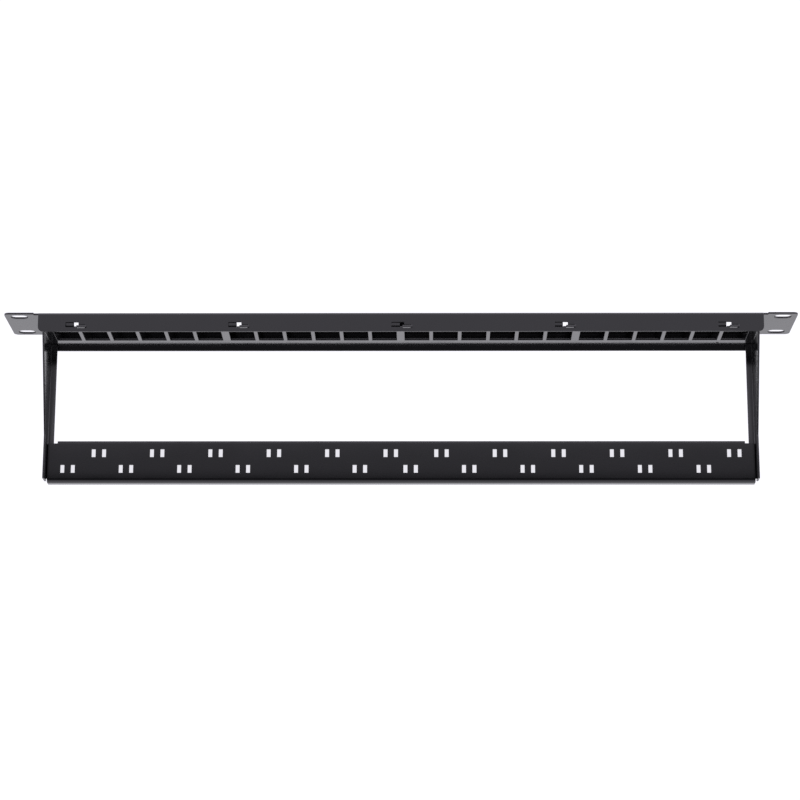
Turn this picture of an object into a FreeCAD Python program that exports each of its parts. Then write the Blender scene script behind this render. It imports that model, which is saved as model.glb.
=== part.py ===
import FreeCAD, Part
import math
import os

import Sketcher

# Keystone patch panel for a 19 inch rack, one height unit, with a cable tray behind it.
# X runs to the right seen from the front, Y runs rearward, Z up.
# The origin is the middle of the rack hole pattern on the rear face of the ears.

# Driving sizes in millimetres
SIZES = [
    ("sheet_thick", 1.2),
    ("bend_inner", 0.4),
    ("fit_gap", 0.2),
    # Front panel
    ("panel_width", 482.6),
    ("ear_height", 43.6),
    ("ear_corner", 3.0),
    ("body_height", 43.6),
    ("ear_reach", 21.1),
    ("flange_depth", 12.0),
    ("flange_corner", 3.0),
    ("relief_width", 2.9),
    ("rack_edge", 8.75),
    ("rack_spacing_high", 31.75),
    ("rack_slot_length", 10.5),
    ("rack_slot_width", 6.8),
    # Ports
    ("port_pitch", 17.45),
    ("group_count", 4),
    ("group_gap", 2.0),
    ("field_margin", 3.95),
    ("window_width", 15.1),
    ("window_height", 17.0),
    ("opening_width", 15.15),
    ("opening_height", 19.3),
    ("opening_lift", 3.15),
    # Carrier plate and its hooks
    ("carrier_gap", 7.1),
    ("carrier_end_margin", 1.9),
    ("hook_pitch", 99.0),
    ("hook_edge", 10.0),
    ("keyhole_shift", 1.45),
    ("keyhole_length", 7.9),
    ("keyhole_depth", 3.2),
    ("slot_front_gap", 0.6),
    ("slot_rear_gap", 0.35),
    ("stem_lead", 1.1),
    ("stem_width", 4.8),
    ("head_overhang", 1.1),
    ("head_height", 1.1),
    ("latch_width", 5.0),
    ("latch_tuck", 0.3),
    ("latch_shoulder", 0.6),
    ("hang_hole", 1.8),
    ("hang_edge", 18.5),
    ("hang_level", 11.2),
    # Side arms
    ("arm_inset", 1.85),
    ("arm_bend_inner", 0.4),
    ("arm_front_top", 15.0),
    ("arm_front_flat", 1.0),
    ("arm_taper_end", 68.0),
    ("arm_rear_height", 9.4),
    ("arm_end_gap", 0.7),
    ("arm_lip_width", 3.75),
    # Cable tray
    ("tray_front", 69.8),
    ("tray_depth", 26.3),
    ("tray_lip_height", 6.8),
    ("tray_bend_inner", 1.4),
    ("tray_front_bend", 0.6),
    ("tray_end_gap", 0.4),
    ("tray_lip_end_gap", 2.45),
    ("tie_slot_width", 2.4),
    ("tie_slot_length", 5.0),
    ("tie_slot_spacing", 6.4),
    ("tie_pitch", 35.85),
    ("tie_edge", 2.0),
    ("tie_near", 6.1),
    ("tie_far", 25.0),
    ("tie_front_row", 7.9),
    ("tie_rear_edge", 8.5),
]

# Levels and lines that follow from the driving sizes
DERIVED = [
    ("half_body", "body_height / 2"),
    ("half_ear", "ear_height / 2"),
    ("flange_width", "panel_width - 2 * ear_reach"),
    ("half_flange", "flange_width / 2"),
    ("rack_spacing_wide", "panel_width - 2 * rack_edge"),
    ("flange_rear", "flange_depth - sheet_thick"),
    ("flange_inside", "half_body - sheet_thick"),
    ("bend_outer", "bend_inner + sheet_thick"),
    ("relief_floor", "half_body - bend_outer - fit_gap"),
    ("arm_width", "flange_width - 2 * arm_inset"),
    ("group_pitch", "(arm_width - 2 * field_margin) / group_count"),
    ("ports_per_group", "floor((group_pitch - group_gap) / port_pitch)"),
    ("first_port", "-(group_pitch * (group_count - 1) + port_pitch * (ports_per_group - 1)) / 2"),
    ("carrier_rear", "carrier_gap + sheet_thick"),
    ("carrier_top", "flange_inside - fit_gap"),
    ("carrier_side", "-first_port + opening_width / 2 + carrier_end_margin"),
    ("hook_count", "2 * floor((carrier_side - hook_edge) / hook_pitch) + 1"),
    ("first_hook", "keyhole_shift - hook_pitch * (hook_count - 1) / 2"),
    ("keyhole_right", "first_hook + keyhole_length / 2"),
    ("keyhole_left", "first_hook - keyhole_length / 2"),
    ("keyhole_rear", "carrier_rear - fit_gap"),
    ("keyhole_front", "keyhole_rear - keyhole_depth"),
    ("stem_right", "keyhole_left + stem_lead"),
    ("stem_left", "stem_right - stem_width"),
    ("head_left", "stem_left - head_overhang"),
    ("narrow_left", "stem_left - 2 * fit_gap"),
    ("head_under", "half_body + fit_gap / 2"),
    ("head_top", "half_body + head_height"),
    ("latch_left", "keyhole_right - latch_width"),
    ("latch_right", "keyhole_right + latch_shoulder"),
    ("latch_front", "keyhole_front - latch_tuck"),
    ("latch_low", "flange_inside - (latch_tuck + fit_gap / 2) * sqrt(3)"),
    ("latch_high", "latch_low + sheet_thick * sqrt(3) / 2"),
    ("latch_root", "latch_low - (carrier_gap - latch_front) / sqrt(3)"),
    ("latch_root_rear", "latch_root + sheet_thick / sqrt(3)"),
    ("opening_low", "opening_lift - opening_height / 2"),
    ("arm_outer", "arm_width / 2"),
    ("arm_inner", "arm_outer - sheet_thick"),
    ("arm_bend_outer", "arm_bend_inner + sheet_thick"),
    ("foot_level", "-half_ear"),
    ("tray_top", "foot_level + tray_lip_height"),
    ("lip_top", "tray_top - sheet_thick"),
    ("lip_under", "lip_top - sheet_thick"),
    ("lip_front", "carrier_rear + arm_front_flat"),
    ("tray_rear", "tray_front + tray_depth"),
    ("arm_end", "tray_rear - arm_end_gap"),
    ("lip_rear", "tray_rear - sheet_thick - tray_bend_inner"),
    ("lip_side", "arm_inner - arm_lip_width"),
    ("arm_relief", "lip_under + arm_bend_outer + fit_gap"),
    ("arm_rear_top", "lip_top + arm_rear_height"),
    ("tray_side", "arm_inner - tray_end_gap"),
    ("tray_lip_side", "lip_side - tray_lip_end_gap"),
    ("tray_bend_outer", "tray_bend_inner + sheet_thick"),
    ("tray_front_outer", "tray_front_bend + sheet_thick"),
    ("tray_edge", "tray_front + sheet_thick"),
    ("tie_rear_row", "tray_depth - tie_rear_edge"),
    ("tie_reach", "tie_far + (tie_slot_spacing + tie_slot_width) / 2 + tie_edge"),
    ("tie_count", "floor((lip_side - tie_reach) / tie_pitch) + 1"),
]

doc = FreeCAD.newDocument("keystone_patch_panel")
sheet = doc.addObject("Spreadsheet::Sheet", "sizes")
row = 1
for alias, value in SIZES:
    sheet.set(f"A{row}", alias)
    sheet.set(f"B{row}", str(value))
    sheet.setAlias(f"B{row}", alias)
    row += 1
for alias, formula in DERIVED:
    sheet.set(f"A{row}", alias)
    sheet.set(f"B{row}", "=" + formula)
    sheet.setAlias(f"B{row}", alias)
    row += 1
doc.recompute()


def size(alias):
    """Read one named size from the sheet."""
    return float(sheet.get(alias))


def bound(text):
    """Point every named size in a formula at the sheet."""
    words = text.replace("(", " ( ").replace(")", " ) ").split()
    names = {alias for alias, _ in SIZES} | {alias for alias, _ in DERIVED}
    parts = []
    for word in words:
        bare = word.lstrip("-")
        sign = word[: len(word) - len(bare)]
        parts.append(sign + "sizes." + bare if bare in names else word)
    return " ".join(parts)


def new_body(name):
    """Start a piece of its own."""
    body = doc.addObject("PartDesign::Body", name)
    body.Label = name
    return body


def new_sketch(body, name, role, offset=None):
    """Lay a sketch on one of the body's own base planes, moved along its normal by a formula."""
    sketch = body.newObject("Sketcher::SketchObject", name)
    plane = [feature for feature in body.Origin.OriginFeatures if feature.Role == role][0]
    sketch.AttachmentSupport = (plane, [""])
    sketch.MapMode = "FlatFace"
    if offset:
        sketch.setExpression("AttachmentOffset.Base.z", bound(offset))
    return sketch


def pin(sketch, kind, geometry, position, label, formula):
    """Hold one coordinate of a point at a formula."""
    value = float(sketch.evalExpression(bound(formula)))
    index = sketch.addConstraint(Sketcher.Constraint(kind, -1, 1, geometry, position, value))
    sketch.renameConstraint(index, label)
    sketch.setExpression("Constraints." + label, bound(formula))


def outline(sketch, tag, corners):
    """Draw a closed straight-sided outline whose corners are pairs of formulas."""
    points = []
    for across, along in corners:
        x = float(sketch.evalExpression(bound(across)))
        y = float(sketch.evalExpression(bound(along)))
        points.append(FreeCAD.Vector(x, y, 0))
    count = len(points)
    first = sketch.GeometryCount
    for n in range(count):
        sketch.addGeometry(Part.LineSegment(points[n], points[(n + 1) % count]), False)
    for n in range(count):
        following = first + (n + 1) % count
        sketch.addConstraint(Sketcher.Constraint("Coincident", first + n, 2, following, 1))
    for n, (across, along) in enumerate(corners):
        pin(sketch, "DistanceX", first + n, 1, f"{tag}_across_{n}", across)
        pin(sketch, "DistanceY", first + n, 1, f"{tag}_along_{n}", along)


def rectangle(sketch, tag, left, right, low, high):
    """Draw an upright rectangle between four formulas."""
    outline(sketch, tag, [(left, low), (right, low), (right, high), (left, high)])


def oblong(sketch, tag, left, right, level, radius):
    """Draw a slot with round ends between two centres."""
    x0 = float(sketch.evalExpression(bound(left)))
    x1 = float(sketch.evalExpression(bound(right)))
    y = float(sketch.evalExpression(bound(level)))
    r = float(sketch.evalExpression(bound(radius)))
    first = sketch.GeometryCount
    normal = FreeCAD.Vector(0, 0, 1)
    quarter = math.pi / 2
    ring_right = Part.Circle(FreeCAD.Vector(x1, y, 0), normal, r)
    ring_left = Part.Circle(FreeCAD.Vector(x0, y, 0), normal, r)
    low_line = Part.LineSegment(FreeCAD.Vector(x0, y - r, 0), FreeCAD.Vector(x1, y - r, 0))
    high_line = Part.LineSegment(FreeCAD.Vector(x1, y + r, 0), FreeCAD.Vector(x0, y + r, 0))
    sketch.addGeometry(low_line, False)
    sketch.addGeometry(Part.ArcOfCircle(ring_right, -quarter, quarter), False)
    sketch.addGeometry(high_line, False)
    sketch.addGeometry(Part.ArcOfCircle(ring_left, quarter, 3 * quarter), False)
    for n in range(4):
        following = first + (n + 1) % 4
        sketch.addConstraint(Sketcher.Constraint("Tangent", first + n, 2, following, 1))
    sketch.addConstraint(Sketcher.Constraint("Horizontal", first))
    pin(sketch, "DistanceX", first + 1, 3, f"{tag}_right", right)
    pin(sketch, "DistanceY", first + 1, 3, f"{tag}_right_level", level)
    pin(sketch, "DistanceX", first + 3, 3, f"{tag}_left", left)
    pin(sketch, "DistanceY", first + 3, 3, f"{tag}_left_level", level)
    index = sketch.addConstraint(Sketcher.Constraint("Radius", first + 1, r))
    sketch.renameConstraint(index, f"{tag}_radius")
    sketch.setExpression(f"Constraints.{tag}_radius", bound(radius))


def ring(sketch, tag, across, along, radius):
    """Draw a circle about a point."""
    x = float(sketch.evalExpression(bound(across)))
    y = float(sketch.evalExpression(bound(along)))
    r = float(sketch.evalExpression(bound(radius)))
    circle = Part.Circle(FreeCAD.Vector(x, y, 0), FreeCAD.Vector(0, 0, 1), r)
    geometry = sketch.addGeometry(circle, False)
    pin(sketch, "DistanceX", geometry, 3, f"{tag}_across", across)
    pin(sketch, "DistanceY", geometry, 3, f"{tag}_along", along)
    index = sketch.addConstraint(Sketcher.Constraint("Radius", geometry, r))
    sketch.renameConstraint(index, f"{tag}_radius")
    sketch.setExpression(f"Constraints.{tag}_radius", bound(radius))


def pad(body, name, sketch, length, midplane=False):
    """Grow a sketch into the body."""
    feature = body.newObject("PartDesign::Pad", name)
    feature.Profile = sketch
    feature.setExpression("Length", bound(length))
    if midplane:
        feature.SideType = "Symmetric"
    doc.recompute()
    return feature


def pocket(body, name, sketch, upward=False, both=False):
    """Cut a sketch right through the body and make sure it took material away."""
    before = body.Tip.Shape.Volume
    feature = body.newObject("PartDesign::Pocket", name)
    feature.Profile = sketch
    feature.Type = "ThroughAll"
    feature.Reversed = upward
    if both:
        feature.SideType = "Symmetric"
    doc.recompute()
    if feature.Shape.Volume > before - 0.01:
        raise ValueError(name + " cuts nothing")
    return feature


def fillet(body, name, radius, lines):
    """Round the straight edges that lie on the given lines, each a dictionary of fixed coordinates."""
    base = body.Tip
    names = []
    for index, edge in enumerate(base.Shape.Edges):
        ends = [vertex.Point for vertex in edge.Vertexes]
        if len(ends) != 2 or edge.Curve.TypeId != "Part::GeomLine":
            continue
        for line in lines:
            gaps = [abs(getattr(end, axis) - value) for end in ends for axis, value in line.items()]
            if max(gaps) < 1e-4:
                names.append(f"Edge{index + 1}")
                break
    if len(names) < len(lines):
        raise ValueError(name + " misses an edge")
    feature = body.newObject("PartDesign::Fillet", name)
    feature.Base = (base, names)
    feature.setExpression("Radius", bound(radius))
    doc.recompute()
    return feature


def line_pattern(body, name, feature, sketch, pitch, count, backward=False):
    """Repeat a feature along the sketch's first axis."""
    pattern = body.newObject("PartDesign::LinearPattern", name)
    pattern.Originals = [feature]
    pattern.Direction = (sketch, ["H_Axis"])
    pattern.Reversed = backward
    pattern.Mode = "Spacing"
    pattern.setExpression("Offset", bound(pitch))
    pattern.setExpression("Occurrences", bound(count))
    body.Tip = pattern
    doc.recompute()
    return pattern


def port_pattern(body, name, feature, sketch):
    """Repeat one port over its group and the group over the panel."""
    multi = body.newObject("PartDesign::MultiTransform", name)
    multi.Originals = [feature]
    steps = []
    for suffix, pitch, count in (
        ("ports", "port_pitch", "ports_per_group"),
        ("groups", "group_pitch", "group_count"),
    ):
        step = doc.addObject("PartDesign::LinearPattern", name + "_" + suffix)
        body.addObject(step)
        step.Direction = (sketch, ["H_Axis"])
        step.Mode = "Spacing"
        step.setExpression("Offset", bound(pitch))
        step.setExpression("Occurrences", bound(count))
        steps.append(step)
    multi.Transformations = steps
    body.Tip = multi
    doc.recompute()
    return multi


# Front panel: a channel with flanges at the top and the bottom
panel = new_body("front_panel")
profile = new_sketch(panel, "panel_profile", "YZ_Plane")
outline(profile, "channel", [
    ("-sheet_thick", "-half_body"),
    ("flange_rear", "-half_body"),
    ("flange_rear", "-flange_inside"),
    ("0", "-flange_inside"),
    ("0", "flange_inside"),
    ("flange_rear", "flange_inside"),
    ("flange_rear", "half_body"),
    ("-sheet_thick", "half_body"),
])
pad(panel, "panel_channel", profile, "flange_width", midplane=True)
fillet(panel, "panel_bends_outside", "bend_outer", [
    {"y": -size("sheet_thick"), "z": size("half_body")},
    {"y": -size("sheet_thick"), "z": -size("half_body")},
])
fillet(panel, "panel_bends_inside", "bend_inner", [
    {"y": 0, "z": size("flange_inside")},
    {"y": 0, "z": -size("flange_inside")},
])
fillet(panel, "panel_flange_corners", "flange_corner", [
    {"x": side * size("half_flange"), "y": size("flange_rear")} for side in (1, -1)
])

# Rack ears, set off from the flanges by bend reliefs
ears = new_sketch(panel, "ear_outline", "XZ_Plane")
for tag, sign in (("right", ""), ("left", "-")):
    outline(ears, tag, [
        (sign + "carrier_side", "-relief_floor"),
        (sign + "(half_flange + relief_width)", "-relief_floor"),
        (sign + "(half_flange + relief_width)", "-half_ear"),
        (sign + "(panel_width / 2)", "-half_ear"),
        (sign + "(panel_width / 2)", "half_ear"),
        (sign + "(half_flange + relief_width)", "half_ear"),
        (sign + "(half_flange + relief_width)", "relief_floor"),
        (sign + "carrier_side", "relief_floor"),
    ])
pad(panel, "panel_ears", ears, "sheet_thick")
fillet(panel, "ear_corners", "ear_corner", [
    {"x": side * size("panel_width") / 2, "z": level * size("half_ear")}
    for side in (1, -1)
    for level in (1, -1)
])

# Oblong rack holes
rack = new_sketch(panel, "rack_holes", "XZ_Plane")
for tag, side in (("right", ""), ("left", "-")):
    for height, level in (("high", ""), ("low", "-")):
        centre = side + "(rack_spacing_wide / 2)"
        reach = "(rack_slot_length - rack_slot_width) / 2"
        oblong(
            rack,
            f"{tag}_{height}",
            f"{centre} - {reach}",
            f"{centre} + {reach}",
            level + "(rack_spacing_high / 2)",
            "rack_slot_width / 2",
        )
pocket(panel, "panel_rack_holes", rack, both=True)

# Front windows for the faces of the jacks
window = new_sketch(panel, "window_outline", "XZ_Plane")
rectangle(
    window,
    "window",
    "first_port - window_width / 2",
    "first_port + window_width / 2",
    "-window_height / 2",
    "window_height / 2",
)
first_window = pocket(panel, "first_window", window, both=True)
port_pattern(panel, "panel_windows", first_window, window)

# Keyholes in the top flange: a wide part to enter, a narrow part to hold
keyhole = new_sketch(panel, "keyhole_outline", "XY_Plane")
outline(keyhole, "keyhole", [
    ("keyhole_right", "keyhole_front"),
    ("keyhole_right", "keyhole_rear"),
    ("stem_right + fit_gap", "keyhole_rear"),
    ("stem_right + fit_gap", "carrier_rear + slot_rear_gap"),
    ("narrow_left", "carrier_rear + slot_rear_gap"),
    ("narrow_left", "carrier_gap - slot_front_gap"),
    ("keyhole_left", "carrier_gap - slot_front_gap"),
    ("keyhole_left", "keyhole_front"),
])
first_keyhole = pocket(panel, "first_keyhole", keyhole, upward=True)
line_pattern(panel, "panel_keyholes", first_keyhole, keyhole, "hook_pitch", "hook_count")

# Port carrier: an upright plate behind the front panel, its corners cut back beside the arms
carrier = new_body("port_carrier")
plate = new_sketch(carrier, "carrier_outline", "XZ_Plane", "-carrier_rear")
outline(plate, "plate", [
    ("-carrier_side", "-flange_inside"),
    ("carrier_side", "-flange_inside"),
    ("carrier_side", "arm_relief"),
    ("arm_outer", "arm_relief"),
    ("arm_outer", "arm_front_top"),
    ("carrier_side", "arm_front_top"),
    ("carrier_side", "carrier_top"),
    ("-carrier_side", "carrier_top"),
    ("-carrier_side", "arm_front_top"),
    ("-arm_outer", "arm_front_top"),
    ("-arm_outer", "arm_relief"),
    ("-carrier_side", "arm_relief"),
])
pad(carrier, "carrier_plate", plate, "sheet_thick")

# Side arms folded rearward, tapering down towards the tray
for tag, offset in (("right", "arm_inner"), ("left", "-arm_outer")):
    web = new_sketch(carrier, tag + "_arm_outline", "YZ_Plane", offset)
    outline(web, "web", [
        ("carrier_gap", "arm_relief"),
        ("lip_front", "arm_relief"),
        ("lip_front", "lip_under"),
        ("lip_rear", "lip_under"),
        ("lip_rear", "arm_relief"),
        ("arm_end", "arm_relief"),
        ("arm_end", "arm_rear_top"),
        ("arm_taper_end", "arm_rear_top"),
        ("lip_front", "arm_front_top"),
        ("carrier_gap", "arm_front_top"),
    ])
    pad(carrier, tag + "_arm_web", web, "sheet_thick")

# Narrow lips along the feet of the arms
lips = new_sketch(carrier, "lip_outline", "XY_Plane", "lip_under")
for tag, sign in (("right", ""), ("left", "-")):
    outline(lips, tag, [
        (sign + "lip_side", "lip_front"),
        (sign + "arm_outer", "lip_front"),
        (sign + "arm_outer", "lip_rear"),
        (sign + "lip_side", "lip_rear"),
    ])
pad(carrier, "arm_lips", lips, "sheet_thick")
fillet(carrier, "carrier_bends_outside", "bend_outer", [
    {"x": side * size("arm_outer"), "y": size("carrier_gap")} for side in (1, -1)
])
fillet(carrier, "carrier_bends_inside", "bend_inner", [
    {"x": side * size("arm_inner"), "y": size("carrier_rear")} for side in (1, -1)
])
fillet(carrier, "lip_bends_outside", "arm_bend_outer", [
    {"x": side * size("arm_outer"), "z": size("lip_under")} for side in (1, -1)
])
fillet(carrier, "lip_bends_inside", "arm_bend_inner", [
    {"x": side * size("arm_inner"), "z": size("lip_top")} for side in (1, -1)
])

# Keystone openings
opening = new_sketch(carrier, "opening_outline", "XZ_Plane")
rectangle(
    opening,
    "opening",
    "first_port - opening_width / 2",
    "first_port + opening_width / 2",
    "opening_low",
    "opening_low + opening_height",
)
first_opening = pocket(carrier, "first_opening", opening, both=True)
port_pattern(carrier, "carrier_openings", first_opening, opening)

# A small round hole near one end, by which the plate hangs while it is coated
hang = new_sketch(carrier, "hang_outline", "XZ_Plane")
ring(hang, "hang", "-(carrier_side - hang_edge)", "-hang_level", "hang_hole / 2")
pocket(carrier, "carrier_hang_hole", hang, both=True)

# Notches that free the latches in the upper edge
notch = new_sketch(carrier, "notch_outline", "XZ_Plane")
rectangle(
    notch,
    "notch",
    "latch_left - fit_gap",
    "latch_right + fit_gap",
    "latch_root",
    "half_body",
)
first_notch = pocket(carrier, "first_notch", notch, both=True)
line_pattern(carrier, "carrier_notches", first_notch, notch, "hook_pitch", "hook_count")

# Hooks that reach over the top flange
hook = new_sketch(carrier, "hook_outline", "XZ_Plane", "-carrier_rear")
outline(hook, "hook", [
    ("stem_left", "latch_root"),
    ("stem_right", "latch_root"),
    ("stem_right", "head_top"),
    ("head_left", "head_top"),
    ("head_left", "head_under"),
    ("stem_left", "head_under"),
])
first_hook = pad(carrier, "first_hook", hook, "sheet_thick")
line_pattern(carrier, "carrier_hooks", first_hook, hook, "hook_pitch", "hook_count")

# Latches: tabs bent forward by sixty degrees into the wide part of the keyholes
latch = new_sketch(carrier, "latch_outline", "YZ_Plane", "latch_left")
outline(latch, "latch", [
    ("carrier_gap", "latch_root - fit_gap"),
    ("carrier_rear", "latch_root - fit_gap"),
    ("carrier_rear", "latch_root_rear"),
    ("latch_front + sheet_thick / 2", "latch_high"),
    ("latch_front", "latch_low"),
    ("carrier_gap", "latch_root"),
])
first_latch = pad(carrier, "first_latch", latch, "latch_width + latch_shoulder")
line_pattern(carrier, "carrier_latches", first_latch, notch, "hook_pitch", "hook_count")

# Shoulders that keep the outer end of each latch under the flange
shoulder = new_sketch(carrier, "shoulder_outline", "XZ_Plane")
rectangle(
    shoulder,
    "shoulder",
    "keyhole_right",
    "latch_right + fit_gap / 2",
    "carrier_top",
    "half_body",
)
first_shoulder = pocket(carrier, "first_shoulder", shoulder, both=True)
line_pattern(carrier, "carrier_shoulders", first_shoulder, shoulder, "hook_pitch", "hook_count")

# Cable tray: a plate on the lips of the arms with both long edges folded down
tray = new_body("cable_tray")
channel = new_sketch(tray, "tray_profile", "YZ_Plane")
outline(channel, "channel", [
    ("tray_front", "foot_level"),
    ("tray_edge", "foot_level"),
    ("tray_edge", "lip_top"),
    ("tray_rear - sheet_thick", "lip_top"),
    ("tray_rear - sheet_thick", "foot_level"),
    ("tray_rear", "foot_level"),
    ("tray_rear", "tray_top"),
    ("tray_front", "tray_top"),
])
pad(tray, "tray_channel", channel, "2 * tray_side", midplane=True)
fillet(tray, "tray_rear_bend_outside", "tray_bend_outer", [{"y": size("tray_rear"), "z": size("tray_top")}])
fillet(tray, "tray_rear_bend_inside", "tray_bend_inner", [
    {"y": size("tray_rear") - size("sheet_thick"), "z": size("lip_top")},
])
fillet(tray, "tray_front_bend_outside", "tray_front_outer", [{"y": size("tray_front"), "z": size("tray_top")}])
fillet(tray, "tray_front_bend_inside", "tray_front_bend", [{"y": size("tray_edge"), "z": size("lip_top")}])

# The front fold stops short of the arms
ends = new_sketch(tray, "tray_fold_ends", "XY_Plane")
for tag, sign in (("right", ""), ("left", "-")):
    outline(ends, tag, [
        (sign + "tray_lip_side", "tray_front - sheet_thick"),
        (sign + "arm_outer", "tray_front - sheet_thick"),
        (sign + "arm_outer", "tray_front + tray_front_outer"),
        (sign + "tray_lip_side", "tray_front + tray_front_outer"),
    ])
pocket(tray, "tray_fold_clearance", ends)

# Pairs of tie slots in two staggered rows, one set to each side of the middle
for tag, sign, backward in (("right", "", False), ("left", "-", True)):
    ties = new_sketch(tray, tag + "_tie_slots", "XY_Plane")
    near_row = "tie_front_row" if tag == "right" else "tie_rear_row"
    far_row = "tie_rear_row" if tag == "right" else "tie_front_row"
    for place, start, line in (("near", "tie_near", near_row), ("far", "tie_far", far_row)):
        for half, step in (("inner", "-"), ("outer", "+")):
            middle = f"{sign}{start} {step} tie_slot_spacing / 2"
            rectangle(
                ties,
                f"{place}_{half}",
                f"{middle} - tie_slot_width / 2",
                f"{middle} + tie_slot_width / 2",
                f"tray_front + {line} - tie_slot_length / 2",
                f"tray_front + {line} + tie_slot_length / 2",
            )
    first_ties = pocket(tray, tag + "_first_ties", ties)
    line_pattern(tray, tag + "_tie_row", first_ties, ties, "tie_pitch", "tie_count", backward)

# Nothing is written unless every object is sound
doc.recompute()
for item in doc.Objects:
    if "Invalid" in item.State or "Error" in item.State:
        raise ValueError(item.Name + " failed")
os.makedirs("parts", exist_ok=True)
for body in (panel, carrier, tray):
    shape = body.Shape
    if shape.isNull() or not shape.isValid() or len(shape.Solids) != 1:
        raise ValueError(body.Label + " is not one sound solid")
    body.Placement = FreeCAD.Placement()
    print(body.Label, round(shape.Volume, 1), shape.BoundBox)
for body in (panel, carrier, tray):
    body.Shape.exportStep(f"parts/{body.Label}.step")
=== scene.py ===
"""Looks of a keystone patch panel: black powder coat on folded sheet steel, in a white light tent."""

import math

import bmesh
import bpy
from mathutils import Matrix, Vector
from mathutils.bvhtree import BVHTree


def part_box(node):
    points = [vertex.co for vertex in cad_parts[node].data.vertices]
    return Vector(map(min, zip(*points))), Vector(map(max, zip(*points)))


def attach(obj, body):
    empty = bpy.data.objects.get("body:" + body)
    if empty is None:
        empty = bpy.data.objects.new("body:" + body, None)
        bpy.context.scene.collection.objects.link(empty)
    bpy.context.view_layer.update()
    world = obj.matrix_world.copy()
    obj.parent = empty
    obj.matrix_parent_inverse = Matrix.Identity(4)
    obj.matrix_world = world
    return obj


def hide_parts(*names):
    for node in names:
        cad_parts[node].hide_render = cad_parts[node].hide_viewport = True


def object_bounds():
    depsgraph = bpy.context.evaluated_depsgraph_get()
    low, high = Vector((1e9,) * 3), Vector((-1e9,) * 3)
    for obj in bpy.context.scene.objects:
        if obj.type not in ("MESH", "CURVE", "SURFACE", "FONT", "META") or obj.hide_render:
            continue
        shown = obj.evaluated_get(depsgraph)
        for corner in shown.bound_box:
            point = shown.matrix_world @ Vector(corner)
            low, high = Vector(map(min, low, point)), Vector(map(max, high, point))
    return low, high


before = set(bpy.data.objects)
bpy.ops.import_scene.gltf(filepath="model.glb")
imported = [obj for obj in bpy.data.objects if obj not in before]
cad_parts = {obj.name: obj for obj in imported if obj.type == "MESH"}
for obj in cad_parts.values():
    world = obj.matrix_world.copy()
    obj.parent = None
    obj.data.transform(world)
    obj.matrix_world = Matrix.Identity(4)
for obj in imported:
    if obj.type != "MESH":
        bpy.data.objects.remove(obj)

bl_info = {
    "name": "Keystone Patch Panel Finish",
    "version": (1, 0, 0),
    "blender": (4, 5, 0),
    "location": "View3D > Sidebar > Patch Panel",
    "description": "Softens the cut edges of a folded sheet steel panel, coats it and sets up its studio",
    "category": "Object",
}

MM = 0.001
BODY = "root"
CAD_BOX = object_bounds()
FLOOR_LEVEL = CAD_BOX[0].z
NODE_STEP = 220.0

# Thickness and edges of the folded sheets
SHEET_THICK = 1.2 * MM
SIDE_DEPTH = 1.5 * SHEET_THICK
SKIN = 0.01 * MM
WELD_GAP = 0.001 * MM
FLAT_ANGLE = math.radians(0.5)
CUT_ANGLE = math.radians(50.0)
CREASE_ANGLE = math.radians(15.0)
EDGE_STEPS = 2

# Cloudiness of the coat, and the lighter tone of its thin edges
CLOUDS_PER_METRE = 45.0
CLOUD_LOW = 0.3
CLOUD_HIGH = 0.7
CLOUD_TONE = 0.1
CLOUD_GLOSS = 0.03
EDGE_TONE = 1.8

# Floor, shade under the cable tray, and camera
FLOOR_SIDES = 96
CHANNEL_INSET = 2.0 * MM
SHADE_LIFT = 0.05 * MM
SHADE_FADE = 5.0 * MM
SENSOR_WIDTH = 36.0


class CoatSettings(bpy.types.PropertyGroup):
    """Colour, gloss and grain of the powder coat."""

    colour: bpy.props.FloatVectorProperty(
        name="Colour",
        description="Colour of the coat on all three sheets",
        default=(0.003, 0.003, 0.0035),
        min=0.0,
        max=1.0,
        subtype="COLOR",
    )
    roughness: bpy.props.FloatProperty(
        name="Roughness",
        description="Mean roughness of the coat",
        default=0.15,
        min=0.0,
        max=1.0,
        subtype="FACTOR",
    )
    side_roughness: bpy.props.FloatProperty(
        name="Side Roughness",
        description="Roughness that the sheared sides of the sheets have beyond the rest of the coat",
        default=0.2,
        min=0.0,
        max=1.0,
        subtype="FACTOR",
    )
    panel_index: bpy.props.FloatProperty(
        name="Panel Index",
        description="Index of refraction of the coat on the front panel and the cable tray",
        default=1.5,
        min=1.0,
        soft_max=2.0,
    )
    carrier_index: bpy.props.FloatProperty(
        name="Carrier Index",
        description="Index of refraction of the coat on the port carrier, which mirrors a little more",
        default=1.62,
        min=1.0,
        soft_max=2.0,
    )
    peel_width: bpy.props.FloatProperty(
        name="Peel Width",
        description="Width of the soft hills that the melted powder leaves",
        default=1.6 * MM,
        min=0.1 * MM,
        unit="LENGTH",
    )
    peel_height: bpy.props.FloatProperty(
        name="Peel Height",
        description="Height of the soft hills",
        default=0.004 * MM,
        min=0.0,
        unit="LENGTH",
    )
    grain_width: bpy.props.FloatProperty(
        name="Grain Width",
        description="Width of the fine grain on the hills",
        default=0.35 * MM,
        min=0.05 * MM,
        unit="LENGTH",
    )
    grain_height: bpy.props.FloatProperty(
        name="Grain Height",
        description="Height of the fine grain",
        default=0.001 * MM,
        min=0.0,
        unit="LENGTH",
    )
    edge_radius: bpy.props.FloatProperty(
        name="Edge Radius",
        description="Radius that the coat gives to the cut edges of the sheet",
        default=0.15 * MM,
        min=0.0,
        unit="LENGTH",
    )


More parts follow.
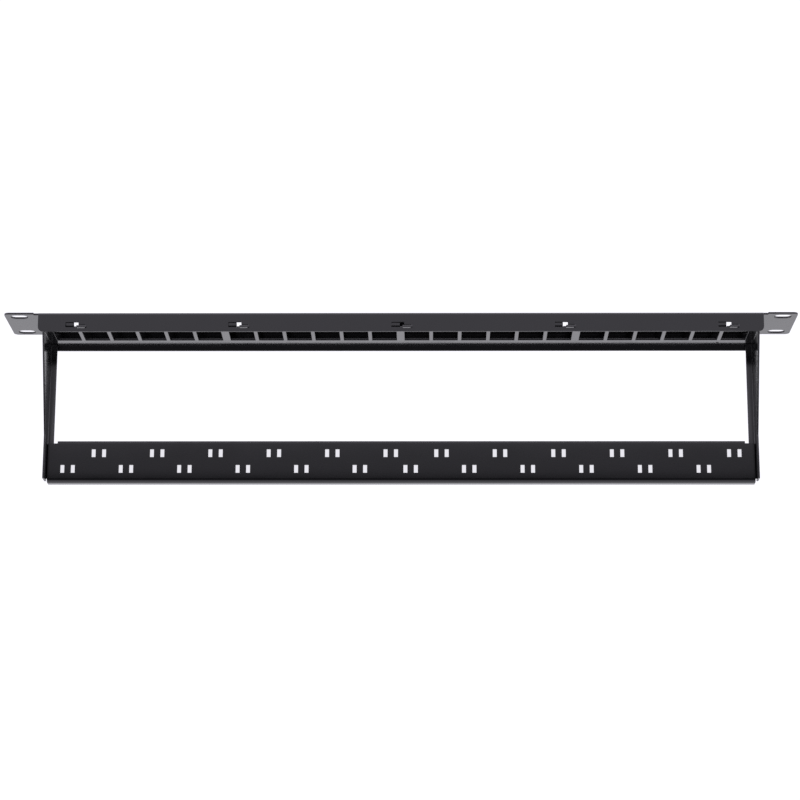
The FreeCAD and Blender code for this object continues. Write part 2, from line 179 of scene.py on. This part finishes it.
class StageSettings(bpy.types.PropertyGroup):
    """Floor, light tent, lamps and camera."""

    floor_width: bpy.props.FloatProperty(
        name="Floor Width",
        description="Width of the round floor",
        default=12.0,
        min=1.0,
        unit="LENGTH",
    )
    floor_glow: bpy.props.FloatVectorProperty(
        name="Floor Glow",
        description="Colour and brightness of the lit floor",
        default=(1.07, 1.06, 1.13),
        min=0.0,
        soft_max=2.0,
        subtype="COLOR",
    )
    channel_share: bpy.props.FloatProperty(
        name="Channel Share",
        description="Share of the floor's glow that is left in the channel under the cable tray",
        default=0.77,
        min=0.0,
        max=1.0,
        subtype="FACTOR",
    )
    tent_tint: bpy.props.FloatVectorProperty(
        name="Tent Tint",
        description="Colour of the light in the tent and of the lamps",
        default=(1.0, 0.97, 1.09),
        min=0.0,
        soft_max=2.0,
        subtype="COLOR",
    )
    tent_side: bpy.props.FloatProperty(
        name="Tent Side",
        description="Brightness of the tent near the floor",
        default=1.5,
        min=0.0,
    )
    tent_top: bpy.props.FloatProperty(
        name="Tent Top",
        description="Brightness of the tent straight above, where the camera looks in",
        default=0.1,
        min=0.0,
    )
    fade_low: bpy.props.FloatProperty(
        name="Fade Low",
        description="Angle above the floor where the tent starts to darken",
        default=math.radians(15.0),
        subtype="ANGLE",
    )
    fade_high: bpy.props.FloatProperty(
        name="Fade High",
        description="Angle above the floor where the tent is darkest",
        default=math.radians(68.0),
        subtype="ANGLE",
    )
    lamp_width: bpy.props.FloatProperty(
        name="Lamp Width",
        description="Width of the soft lamps",
        default=2.4,
        min=0.01,
        unit="LENGTH",
    )
    lamp_depth: bpy.props.FloatProperty(
        name="Lamp Depth",
        description="Depth of the soft lamps from front to rear",
        default=0.9,
        min=0.01,
        unit="LENGTH",
    )
    near_glow: bpy.props.FloatProperty(
        name="Near Lamp Glow",
        description="Brightness of the low lamp, which the whole part mirrors",
        default=0.465,
        min=0.0,
    )
    near_height: bpy.props.FloatProperty(
        name="Near Lamp Height",
        description="Height of the low lamp above the origin",
        default=0.07,
        unit="LENGTH",
    )
    near_rear: bpy.props.FloatProperty(
        name="Near Lamp Rear",
        description="Place of the rear edge of the low lamp along Y",
        default=72.5 * MM,
        unit="LENGTH",
    )
    far_glow: bpy.props.FloatProperty(
        name="Far Lamp Glow",
        description="Brightness of the high lamp, which the front panel and the front of the tray mirror",
        default=0.465,
        min=0.0,
    )
    far_height: bpy.props.FloatProperty(
        name="Far Lamp Height",
        description="Height of the high lamp above the origin",
        default=0.15,
        unit="LENGTH",
    )
    far_rear: bpy.props.FloatProperty(
        name="Far Lamp Rear",
        description="Place of the rear edge of the high lamp along Y",
        default=28.0 * MM,
        unit="LENGTH",
    )
    view_turn: bpy.props.FloatProperty(
        name="View Turn",
        description="Turn of the camera away from the middle of the rear side",
        default=math.radians(-2.617),
        subtype="ANGLE",
    )
    view_height: bpy.props.FloatProperty(
        name="View Height",
        description="Angle of the camera above the floor",
        default=math.radians(74.955),
        subtype="ANGLE",
    )
    view_roll: bpy.props.FloatProperty(
        name="View Roll",
        description="Turn of the camera about its own line of sight",
        default=math.radians(-2.553),
        subtype="ANGLE",
    )
    view_distance: bpy.props.FloatProperty(
        name="View Distance",
        description="Distance from the camera to the point that it looks at",
        default=1.5604,
        unit="LENGTH",
    )
    view_centre: bpy.props.FloatVectorProperty(
        name="View Centre",
        description="Point that the camera looks at",
        default=(0.335 * MM, 48.12 * MM, 0.0),
        subtype="XYZ",
        unit="LENGTH",
    )
    lens: bpy.props.FloatProperty(
        name="Lens",
        description="Focal length on a sensor 36 mm wide",
        default=115.05,
        subtype="DISTANCE_CAMERA",
    )


def new_node(tree, kind, **inputs):
    """Add a shader node beside the last one and set its constant inputs by name."""
    node = tree.nodes.new(kind)
    node.location.x = NODE_STEP * len(tree.nodes)
    for label, value in inputs.items():
        node.inputs[label.replace("_", " ")].default_value = value
    return node


def bare_material(name):
    """Return a new material with no nodes in it."""
    material = bpy.data.materials.new(name)
    material.use_nodes = True
    material.node_tree.nodes.clear()
    return material


def scene_mesh(name, bm):
    """Turn a bmesh into an object of the scene."""
    mesh = bpy.data.meshes.new(name)
    bm.to_mesh(mesh)
    bm.free()
    thing = bpy.data.objects.new(name, mesh)
    bpy.context.scene.collection.objects.link(thing)
    return thing


def shade(colour, factor):
    """Return a colour made lighter or darker, with full alpha."""
    return tuple(min(1.0, channel * factor) for channel in colour) + (1.0,)


def powder_coat(name, index, settings):
    """Make a satin black coat with soft hills, fine grain and faint clouds, thin on edges, coarse on cuts."""
    material = bare_material(name)
    tree = material.node_tree
    link = tree.links.new
    place = new_node(tree, "ShaderNodeTexCoord").outputs["Object"]

    # Clouds that vary the colour and the gloss
    cloud = new_node(tree, "ShaderNodeTexNoise", Scale=CLOUDS_PER_METRE, Detail=3.0, Roughness=0.55)
    tone = new_node(tree, "ShaderNodeValToRGB")
    dark, light = tone.color_ramp.elements
    dark.position = CLOUD_LOW
    dark.color = shade(settings.colour, 1.0 - CLOUD_TONE)
    light.position = CLOUD_HIGH
    light.color = shade(settings.colour, 1.0 + CLOUD_TONE)
    gloss = new_node(
        tree,
        "ShaderNodeMapRange",
        From_Min=CLOUD_LOW,
        From_Max=CLOUD_HIGH,
        To_Min=settings.roughness - CLOUD_GLOSS,
        To_Max=settings.roughness + CLOUD_GLOSS,
    )
    link(place, cloud.inputs["Vector"])
    link(cloud.outputs["Fac"], tone.inputs["Fac"])
    link(cloud.outputs["Fac"], gloss.inputs["Value"])

    # Thinner paint on the rounded edges
    edge = new_node(tree, "ShaderNodeAttribute")
    edge.attribute_name = "edge"
    paint = new_node(tree, "ShaderNodeMixRGB", Color2=shade(settings.colour, EDGE_TONE))
    link(edge.outputs["Fac"], paint.inputs["Fac"])
    link(tone.outputs["Color"], paint.inputs["Color1"])

    # Coarser paint on the sheared sides
    side = new_node(tree, "ShaderNodeAttribute")
    side.attribute_name = "cut_side"
    coarse = new_node(tree, "ShaderNodeMath")
    coarse.operation = "MULTIPLY_ADD"
    coarse.inputs[1].default_value = settings.side_roughness
    link(side.outputs["Fac"], coarse.inputs[0])
    link(gloss.outputs["Result"], coarse.inputs[2])

    # Fine grain on soft hills
    peel = new_node(tree, "ShaderNodeTexNoise", Scale=1.0 / settings.peel_width, Detail=1.0)
    grain = new_node(tree, "ShaderNodeTexNoise", Scale=1.0 / settings.grain_width, Detail=2.0)
    fine = new_node(tree, "ShaderNodeBump", Distance=settings.grain_height)
    hills = new_node(tree, "ShaderNodeBump", Distance=settings.peel_height)
    link(place, peel.inputs["Vector"])
    link(place, grain.inputs["Vector"])
    link(grain.outputs["Fac"], fine.inputs["Height"])
    link(peel.outputs["Fac"], hills.inputs["Height"])
    link(fine.outputs["Normal"], hills.inputs["Normal"])

    shader = new_node(tree, "ShaderNodeBsdfPrincipled", IOR=index)
    output = new_node(tree, "ShaderNodeOutputMaterial")
    link(paint.outputs["Color"], shader.inputs["Base Color"])
    link(coarse.outputs["Value"], shader.inputs["Roughness"])
    link(hills.outputs["Normal"], shader.inputs["Normal"])
    link(shader.outputs["BSDF"], output.inputs["Surface"])
    return material


def mark_cut_sides(bm, sides):
    """Mark the sheared sides of a sheet, which have more steel behind them than the sheet is thick."""
    bm.normal_update()
    walls = BVHTree.FromBMesh(bm)

    # Each ray starts just under its face, so that it can't hit that face
    for face in bm.faces:
        start = face.calc_center_median() - SKIN * face.normal
        depth = walls.ray_cast(start, -face.normal)[3]
        face[sides] = float(depth is not None and depth > SIDE_DEPTH)


def softened_sheet(node, name, radius):
    """Copy a folded sheet and round its cut edges, marking the rounded faces and the sheared sides."""
    bm = bmesh.new()
    bm.from_mesh(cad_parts[node].data)
    bmesh.ops.remove_doubles(bm, verts=bm.verts, dist=WELD_GAP)
    sides = bm.faces.layers.float.new("cut_side")
    marks = bm.faces.layers.float.new("edge")
    mark_cut_sides(bm, sides)
    bmesh.ops.dissolve_limit(bm, angle_limit=FLAT_ANGLE, verts=bm.verts, edges=bm.edges)

    # An edge is rounded only where the edges at both its ends leave room for the radius
    room = {vert: min(edge.calc_length() for edge in vert.link_edges) for vert in bm.verts}
    cut_edges = [
        edge for edge in bm.edges
        if edge.is_convex
        and edge.calc_face_angle(0.0) > CUT_ANGLE
        and min(room[vert] for vert in edge.verts) > 2 * radius
    ]
    rounded = bmesh.ops.bevel(
        bm,
        geom=cut_edges,
        offset=radius,
        offset_type="OFFSET",
        segments=EDGE_STEPS,
        profile=0.5,
        affect="EDGES",
        material=-1,
        clamp_overlap=False,
    )
    for face in rounded["faces"]:
        face[marks] = 1.0
        face[sides] = 0.0

    # Shading runs smoothly along the rounded edges and stops at every other crease
    for face in bm.faces:
        face.smooth = True
    for edge in bm.edges:
        along_cut = edge.calc_length() > radius and any(face[marks] for face in edge.link_faces)
        edge.smooth = along_cut or edge.calc_face_angle(0.0) < CREASE_ANGLE

    # The normals that come with the solid don't fit the rounded copy
    piece = scene_mesh(name, bm)
    solid_normals = piece.data.attributes.get("custom_normal")
    if solid_normals:
        piece.data.attributes.remove(solid_normals)
    flat_faces = piece.modifiers.new("flat_faces", "WEIGHTED_NORMAL")
    flat_faces.mode = "FACE_AREA"
    flat_faces.keep_sharp = True
    return piece


def dress(node, slot, index, settings):
    """Let a coated copy of a sheet stand for its plain solid."""
    piece = softened_sheet(node, "coated_" + node, settings.edge_radius)
    piece.data.materials.append(powder_coat(slot, index, settings))
    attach(piece, BODY)
    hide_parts(node)


class PATCHPANEL_OT_front_panel(bpy.types.Operator):
    """Coat the front panel with its flanges and rack ears"""

    bl_idname = "patch_panel.front_panel"
    bl_label = "Front Panel"

    def execute(self, context):
        settings = context.scene.patch_panel_coat
        dress("front_panel", "panel_coat", settings.panel_index, settings)
        return {"FINISHED"}


class PATCHPANEL_OT_port_carrier(bpy.types.Operator):
    """Coat the port carrier with its hooks, latches and arms"""

    bl_idname = "patch_panel.port_carrier"
    bl_label = "Port Carrier"

    def execute(self, context):
        settings = context.scene.patch_panel_coat
        dress("port_carrier", "carrier_coat", settings.carrier_index, settings)
        return {"FINISHED"}


class PATCHPANEL_OT_cable_tray(bpy.types.Operator):
    """Coat the cable tray with its tie slots"""

    bl_idname = "patch_panel.cable_tray"
    bl_label = "Cable Tray"

    def execute(self, context):
        settings = context.scene.patch_panel_coat
        dress("cable_tray", "tray_coat", settings.panel_index, settings)
        return {"FINISHED"}


def glow_sheet(name, bm, colour):
    """Turn a flat shape into a glowing sheet of the stage, and return it with its glow."""
    material = bare_material(name)
    tree = material.node_tree
    glow = new_node(tree, "ShaderNodeEmission", Color=tuple(colour) + (1.0,))
    output = new_node(tree, "ShaderNodeOutputMaterial")
    tree.links.new(glow.outputs["Emission"], output.inputs["Surface"])
    sheet = scene_mesh(name, bm)
    sheet.data.materials.append(material)
    return sheet, glow


def lit_table(settings):
    """Make the pale floor, lit evenly from below."""
    bm = bmesh.new()
    bmesh.ops.create_circle(bm, cap_ends=True, segments=FLOOR_SIDES, radius=settings.floor_width / 2)
    bmesh.ops.translate(bm, verts=bm.verts, vec=(0.0, 0.0, FLOOR_LEVEL))
    glow_sheet("lit_table", bm, settings.floor_glow)


def tray_shade(settings):
    """Dim the floor in the channel under the cable tray, fading out at its open ends."""
    low, high = (Vector(corner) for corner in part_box("cable_tray"))
    middle = (low + high) / 2
    reach = (high - low) / 2 - Vector((0.0, CHANNEL_INSET, 0.0))
    bm = bmesh.new()
    bmesh.ops.create_grid(
        bm,
        x_segments=1,
        y_segments=1,
        size=1.0,
        matrix=Matrix.Diagonal((reach.x, reach.y, 1.0, 1.0)),
    )
    sheet, glow = glow_sheet("tray_shade", bm, settings.floor_glow)
    sheet.location = (middle.x, middle.y, FLOOR_LEVEL + SHADE_LIFT)
    tree = glow.id_data
    link = tree.links.new
    place = new_node(tree, "ShaderNodeTexCoord")
    split = new_node(tree, "ShaderNodeSeparateXYZ")
    from_middle = new_node(tree, "ShaderNodeMath")
    from_middle.operation = "ABSOLUTE"
    fade = new_node(
        tree,
        "ShaderNodeMapRange",
        From_Min=reach.x - SHADE_FADE,
        From_Max=reach.x,
        To_Min=settings.channel_share,
        To_Max=1.0,
    )
    link(place.outputs["Object"], split.inputs["Vector"])
    link(split.outputs["X"], from_middle.inputs[0])
    link(from_middle.outputs["Value"], fade.inputs["Value"])
    link(fade.outputs["Result"], glow.inputs["Strength"])


def light_tent(settings):
    """Make the soft light of a tent that is darker at the top, where the camera looks in."""
    world = bpy.data.worlds.new("light_tent")
    world.use_nodes = True
    bpy.context.scene.world = world
    tree = world.node_tree
    link = tree.links.new
    backdrop = tree.nodes["Background"]
    backdrop.inputs["Color"].default_value = tuple(settings.tent_tint) + (1.0,)
    place = new_node(tree, "ShaderNodeTexCoord")
    split = new_node(tree, "ShaderNodeSeparateXYZ")
    fade = new_node(
        tree,
        "ShaderNodeMapRange",
        From_Min=math.sin(settings.fade_low),
        From_Max=math.sin(settings.fade_high),
        To_Min=settings.tent_side,
        To_Max=settings.tent_top,
    )
    fade.interpolation_type = "SMOOTHSTEP"
    link(place.outputs["Generated"], split.inputs["Vector"])
    link(split.outputs["Z"], fade.inputs["Value"])
    link(fade.outputs["Result"], backdrop.inputs["Strength"])


def soft_lamp(name, glow, height, rear, settings):
    """Hang a wide soft lamp over the front side, out of sight of the camera."""
    light = bpy.data.lights.new(name, "AREA")
    light.shape = "RECTANGLE"
    light.size = settings.lamp_width
    light.size_y = settings.lamp_depth
    strongest = max(settings.tent_tint)
    light.color = [channel / strongest for channel in settings.tent_tint]

    # A lamp's power is its brightness times pi times its area
    light.energy = glow * strongest * math.pi * light.size * light.size_y
    lamp = bpy.data.objects.new(name, light)
    lamp.location = (0.0, rear - settings.lamp_depth / 2, height)
    lamp.visible_camera = False
    bpy.context.scene.collection.objects.link(lamp)


def view_camera(settings):
    """Set the camera behind the panel and high above it."""
    turn, height = settings.view_turn, settings.view_height
    back = Vector((
        math.sin(turn) * math.cos(height),
        math.cos(turn) * math.cos(height),
        math.sin(height),
    ))
    lens = bpy.data.cameras.new("view_camera")
    lens.lens = settings.lens
    lens.sensor_width = SENSOR_WIDTH
    camera = bpy.data.objects.new("view_camera", lens)
    place = Matrix.Translation(Vector(settings.view_centre) + settings.view_distance * back)
    sight = back.to_track_quat("Z", "Y").to_matrix().to_4x4()
    camera.matrix_world = place @ sight @ Matrix.Rotation(settings.view_roll, 4, "Z")
    bpy.context.scene.collection.objects.link(camera)
    bpy.context.scene.camera = camera


class PATCHPANEL_OT_stage(bpy.types.Operator):
    """Set the floor, the light tent, the lamps and the camera"""

    bl_idname = "patch_panel.stage"
    bl_label = "Stage"

    def execute(self, context):
        settings = context.scene.patch_panel_stage
        lit_table(settings)
        tray_shade(settings)
        light_tent(settings)
        soft_lamp("near_lamp", settings.near_glow, settings.near_height, settings.near_rear, settings)
        soft_lamp("far_lamp", settings.far_glow, settings.far_height, settings.far_rear, settings)
        view_camera(settings)
        context.scene.view_settings.view_transform = "Standard"
        return {"FINISHED"}


class PATCHPANEL_PT_sidebar(bpy.types.Panel):
    """Lists the settings and the pieces of the patch panel and its stage"""

    bl_idname = "PATCHPANEL_PT_sidebar"
    bl_label = "Patch Panel"
    bl_space_type = "VIEW_3D"
    bl_region_type = "UI"
    bl_category = "Patch Panel"

    def draw(self, context):
        for group in (context.scene.patch_panel_coat, context.scene.patch_panel_stage):
            box = self.layout.box()
            for key in group.__annotations__:
                box.prop(group, key)
        for operator in OPERATORS:
            self.layout.operator(operator.bl_idname)


OPERATORS = (
    PATCHPANEL_OT_front_panel,
    PATCHPANEL_OT_port_carrier,
    PATCHPANEL_OT_cable_tray,
    PATCHPANEL_OT_stage,
)
CLASSES = (CoatSettings, StageSettings) + OPERATORS + (PATCHPANEL_PT_sidebar,)


def register():
    """Add the settings, the operators and the sidebar panel."""
    for item in CLASSES:
        bpy.utils.register_class(item)
    bpy.types.Scene.patch_panel_coat = bpy.props.PointerProperty(type=CoatSettings)
    bpy.types.Scene.patch_panel_stage = bpy.props.PointerProperty(type=StageSettings)


def unregister():
    """Take the settings, the operators and the sidebar panel away."""
    del bpy.types.Scene.patch_panel_stage
    del bpy.types.Scene.patch_panel_coat
    for item in reversed(CLASSES):
        bpy.utils.unregister_class(item)


def main():
    """Build every piece in order."""
    register()
    bpy.ops.patch_panel.front_panel()
    bpy.ops.patch_panel.port_carrier()
    bpy.ops.patch_panel.cable_tray()
    bpy.ops.patch_panel.stage()


if __name__ == "__main__":
    main()
